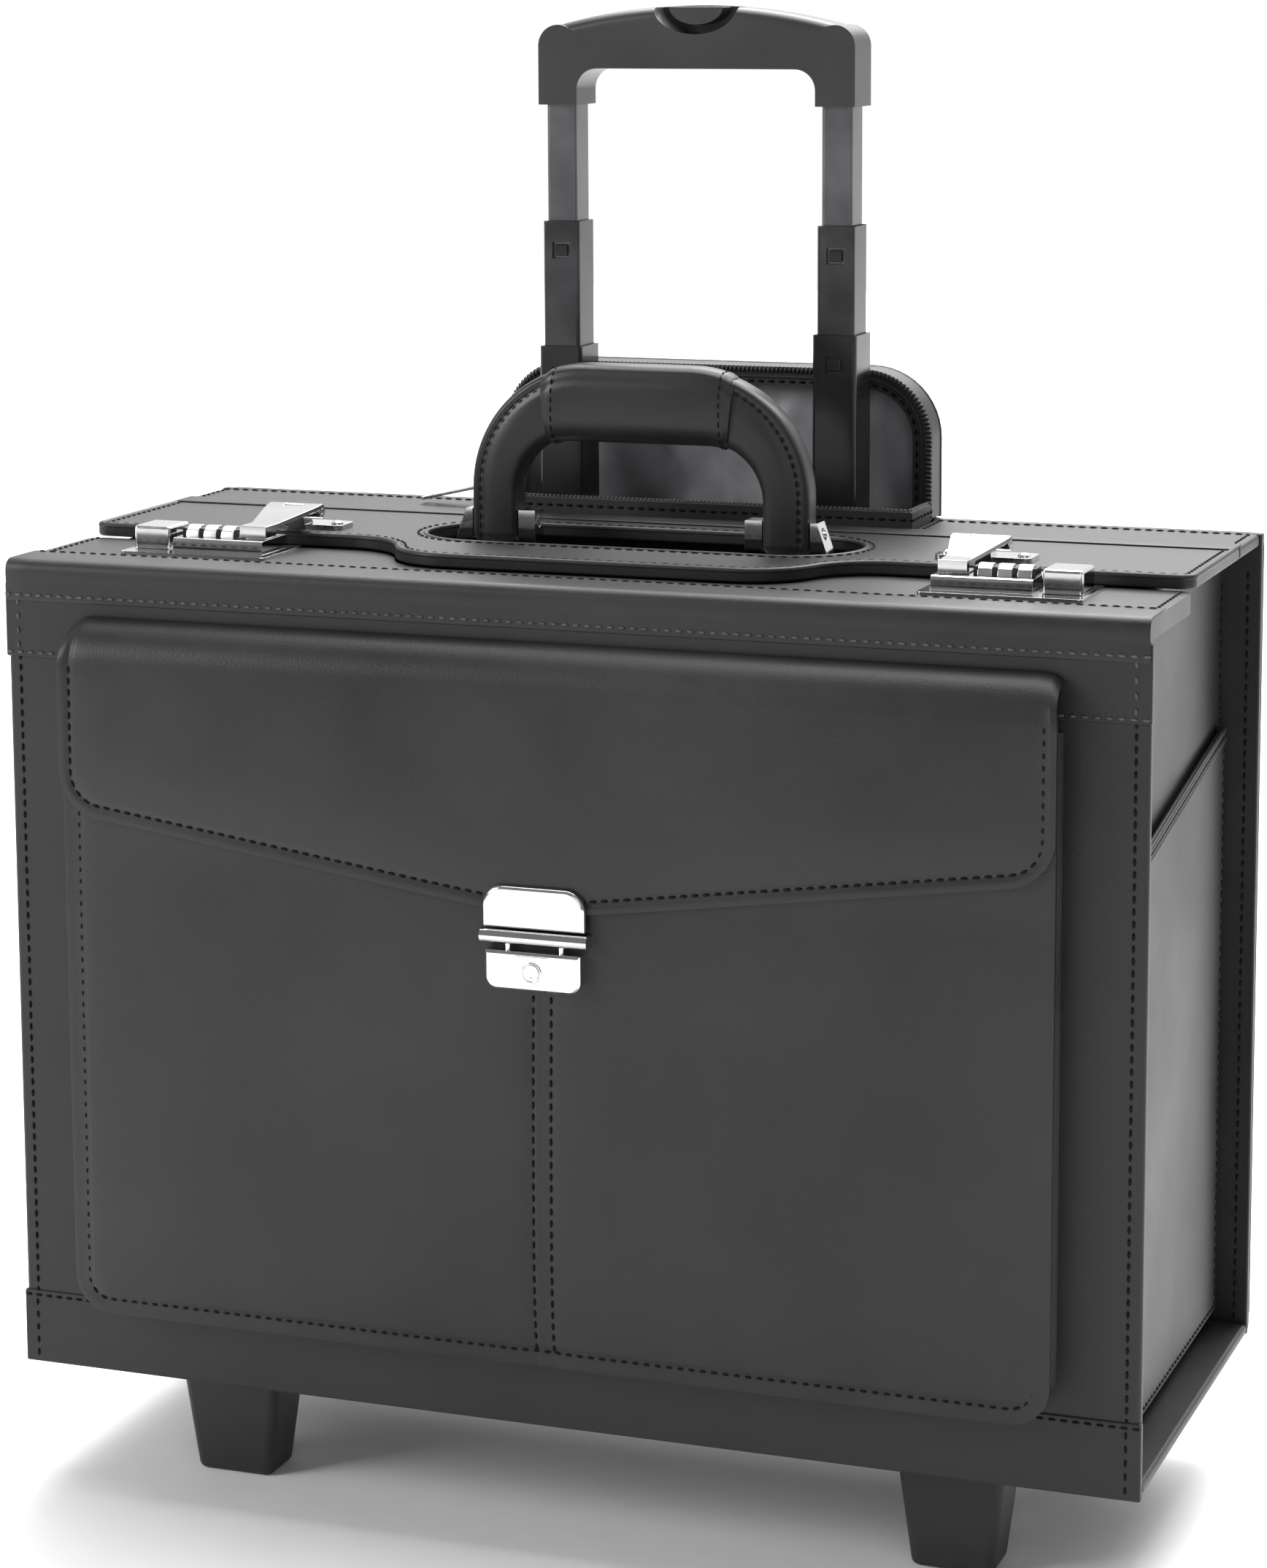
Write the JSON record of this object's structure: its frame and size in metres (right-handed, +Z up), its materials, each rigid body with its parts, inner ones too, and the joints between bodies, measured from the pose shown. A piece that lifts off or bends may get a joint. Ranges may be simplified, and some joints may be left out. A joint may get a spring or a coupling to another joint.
{
  "type": "pilot rolling flight case",
  "caption": "Boarded leather pilot's case with hinged top lids, combination locks, flapped front pocket, padded carry handle, telescopic trolley with zipped hood, feet and wheels.",
  "frame": {"origin": "on the floor, under the centre of the whole object's bounding box", "axes": "+X to the right for someone facing the front pocket, +Y from the front to the back, +Z up"},
  "size_m": [0.48, 0.235, 0.616],
  "materials": {
    "case_leather": "fine-grained black leather, satin, stitched",
    "handle_leather": "smooth black leather, padded and stitched",
    "inner_board": "black covered board",
    "hood_lining": "creased silver-grey lining cloth",
    "zip_tape": "woven black tape with moulded teeth",
    "chrome": "polished plating",
    "steel": "plain steel",
    "tube_metal": "satin gunmetal anodising",
    "grip_plastic": "satin dark grey moulding",
    "foot_plastic": "black moulding, fine texture",
    "tyre_rubber": "matte black",
    "dial_metal": "nickel-plated number wheels"
  },
  "bodies": {
    "case": {"front_panel": "case_leather", "bottom_panel": "case_leather", "back_panel": "case_leather", "left_side_panel": "case_leather", "right_side_panel": "case_leather", "left_side_pocket": "case_leather", "right_side_pocket": "case_leather", "centre_divider": "inner_board", "handle_board": "inner_board", "trolley_wall": "inner_board", "rear_deck": "case_leather", "zip_rim": "zip_tape", "handle_brackets": "chrome", "front_pocket": "case_leather", "pocket_lock_body": "chrome", "fixed_tubes": "tube_metal", "hood_hem": "case_leather", "zip_slider": "chrome", "left_foot": "foot_plastic", "right_foot": "foot_plastic", "left_wheel_housing": "foot_plastic", "right_wheel_housing": "foot_plastic", "wheel_axles": "steel"},
    "rear_lid": {"rear_lid": "case_leather", "left_hasp_base": "chrome", "right_hasp_base": "chrome"},
    "front_lid": {"front_lid": "case_leather", "left_lock_housing": "chrome", "right_lock_housing": "chrome"},
    "left_hasp": {"left_hasp": "chrome"},
    "right_hasp": {"right_hasp": "chrome"},
    "carry_handle": {"handle_arch": "handle_leather", "handle_grip": "handle_leather", "handle_pins": "steel"},
    "left_dial_1": {"left_dial_1": "dial_metal"},
    "left_dial_2": {"left_dial_2": "dial_metal"},
    "left_dial_3": {"left_dial_3": "dial_metal"},
    "left_lock_button": {"left_lock_button": "chrome"},
    "right_dial_1": {"right_dial_1": "dial_metal"},
    "right_dial_2": {"right_dial_2": "dial_metal"},
    "right_dial_3": {"right_dial_3": "dial_metal"},
    "right_lock_button": {"right_lock_button": "chrome"},
    "pocket_flap": {"pocket_flap": "case_leather", "flap_lock_plate": "chrome"},
    "lock_bar": {"lock_bar": "chrome"},
    "key_cylinder": {"key_cylinder": "chrome"},
    "hood": {"hood": "case_leather", "hood_lining": "hood_lining"},
    "zip_pull": {"zip_pull": "chrome"},
    "trolley_lower": {"lower_tubes": "tube_metal"},
    "trolley_middle": {"middle_tubes": "tube_metal"},
    "trolley_upper": {"upper_tubes": "tube_metal", "trolley_grip": "grip_plastic"},
    "release_button": {"release_button": "grip_plastic"},
    "left_wheel": {"left_wheel_hub": "foot_plastic", "left_tyre": "tyre_rubber"},
    "right_wheel": {"right_wheel_hub": "foot_plastic", "right_tyre": "tyre_rubber"}
  },
  "joints": [
    {"name": "rear_lid_hinge", "type": "hinge", "parent": "case", "child": "rear_lid", "pos_m": [0, 0.066, 0.398], "axis": [-1, 0, 0], "range_deg": [0, 88]},
    {"name": "front_lid_hinge", "type": "hinge", "parent": "case", "child": "front_lid", "pos_m": [0, -0.0955, 0.3837], "axis": [1, 0, 0], "range_deg": [0, 110]},
    {"name": "left_hasp_hinge", "type": "hinge", "parent": "rear_lid", "child": "left_hasp", "pos_m": [-0.15, -0.0055, 0.4055], "axis": [-1, 0, 0], "range_deg": [0, 150]},
    {"name": "right_hasp_hinge", "type": "hinge", "parent": "rear_lid", "child": "right_hasp", "pos_m": [0.15, -0.0055, 0.4055], "axis": [-1, 0, 0], "range_deg": [0, 150]},
    {"name": "carry_handle_hinge", "type": "hinge", "parent": "case", "child": "carry_handle", "pos_m": [0, 0.0115, 0.403], "axis": [-1, 0, 0], "range_deg": [0, 45]},
    {"name": "left_dial_1_turn", "type": "hinge", "parent": "front_lid", "child": "left_dial_1", "pos_m": [-0.1785, -0.0425, 0.3984], "axis": [1, 0, 0], "continuous": true},
    {"name": "left_dial_2_turn", "type": "hinge", "parent": "front_lid", "child": "left_dial_2", "pos_m": [-0.1705, -0.0425, 0.3984], "axis": [1, 0, 0], "continuous": true},
    {"name": "left_dial_3_turn", "type": "hinge", "parent": "front_lid", "child": "left_dial_3", "pos_m": [-0.1625, -0.0425, 0.3984], "axis": [1, 0, 0], "continuous": true},
    {"name": "left_button_slide", "type": "slide", "parent": "front_lid", "child": "left_lock_button", "axis": [-1, 0, 0], "range_m": [0, 0.0025], "stiffness_N_per_m": 400, "springref_m": -0.001},
    {"name": "right_dial_1_turn", "type": "hinge", "parent": "front_lid", "child": "right_dial_1", "pos_m": [0.1785, -0.0425, 0.3984], "axis": [1, 0, 0], "continuous": true},
    {"name": "right_dial_2_turn", "type": "hinge", "parent": "front_lid", "child": "right_dial_2", "pos_m": [0.1705, -0.0425, 0.3984], "axis": [1, 0, 0], "continuous": true},
    {"name": "right_dial_3_turn", "type": "hinge", "parent": "front_lid", "child": "right_dial_3", "pos_m": [0.1625, -0.0425, 0.3984], "axis": [1, 0, 0], "continuous": true},
    {"name": "right_button_slide", "type": "slide", "parent": "front_lid", "child": "right_lock_button", "axis": [1, 0, 0], "range_m": [0, 0.0025], "stiffness_N_per_m": 400, "springref_m": -0.001},
    {"name": "pocket_flap_hinge", "type": "hinge", "parent": "case", "child": "pocket_flap", "pos_m": [0, -0.0947, 0.3712], "axis": [-1, 0, 0], "range_deg": [0, 68]},
    {"name": "lock_bar_slide", "type": "slide", "parent": "case", "child": "lock_bar", "axis": [0, 0, -1], "range_m": [0, 0.002], "stiffness_N_per_m": 400, "springref_m": -0.002},
    {"name": "key_turn", "type": "hinge", "parent": "case", "child": "key_cylinder", "pos_m": [0, -0.115, 0.24335], "axis": [0, 1, 0], "range_deg": [0, 90]},
    {"name": "hood_hinge", "type": "hinge", "parent": "case", "child": "hood", "pos_m": [0, 0.1179, 0.397], "axis": [-1, 0, 0], "range_deg": [0, 160]},
    {"name": "zip_pull_hinge", "type": "hinge", "parent": "case", "child": "zip_pull", "pos_m": [-0.1029, 0.0885, 0.4065], "axis": [0, 1, 0], "range_deg": [0, 120]},
    {"name": "trolley_lower_slide", "type": "slide", "parent": "case", "child": "trolley_lower", "axis": [0, 0, 1], "range_m": [-0.099, 0.091]},
    {"name": "trolley_middle_slide", "type": "slide", "parent": "trolley_lower", "child": "trolley_middle", "axis": [0, 0, 1], "range_m": [-0.043, 0.137]},
    {"name": "trolley_upper_slide", "type": "slide", "parent": "trolley_middle", "child": "trolley_upper", "axis": [0, 0, 1], "range_m": [-0.047, 0.133]},
    {"name": "release_slide", "type": "slide", "parent": "trolley_upper", "child": "release_button", "axis": [0, 0, -1], "range_m": [0, 0.0035], "stiffness_N_per_m": 300, "springref_m": -0.001},
    {"name": "left_wheel_spin", "type": "hinge", "parent": "case", "child": "left_wheel", "pos_m": [-0.175, 0.0915, 0.022], "axis": [1, 0, 0], "continuous": true},
    {"name": "right_wheel_spin", "type": "hinge", "parent": "case", "child": "right_wheel", "pos_m": [0.175, 0.0915, 0.022], "axis": [1, 0, 0], "continuous": true}
  ],
  "couplings": [
    {"joint": "front_lid_hinge", "follows": "rear_lid_hinge", "ratio": 1.25},
    {"joint": "carry_handle_hinge", "follows": "rear_lid_hinge", "ratio": 0.5}
  ]
}
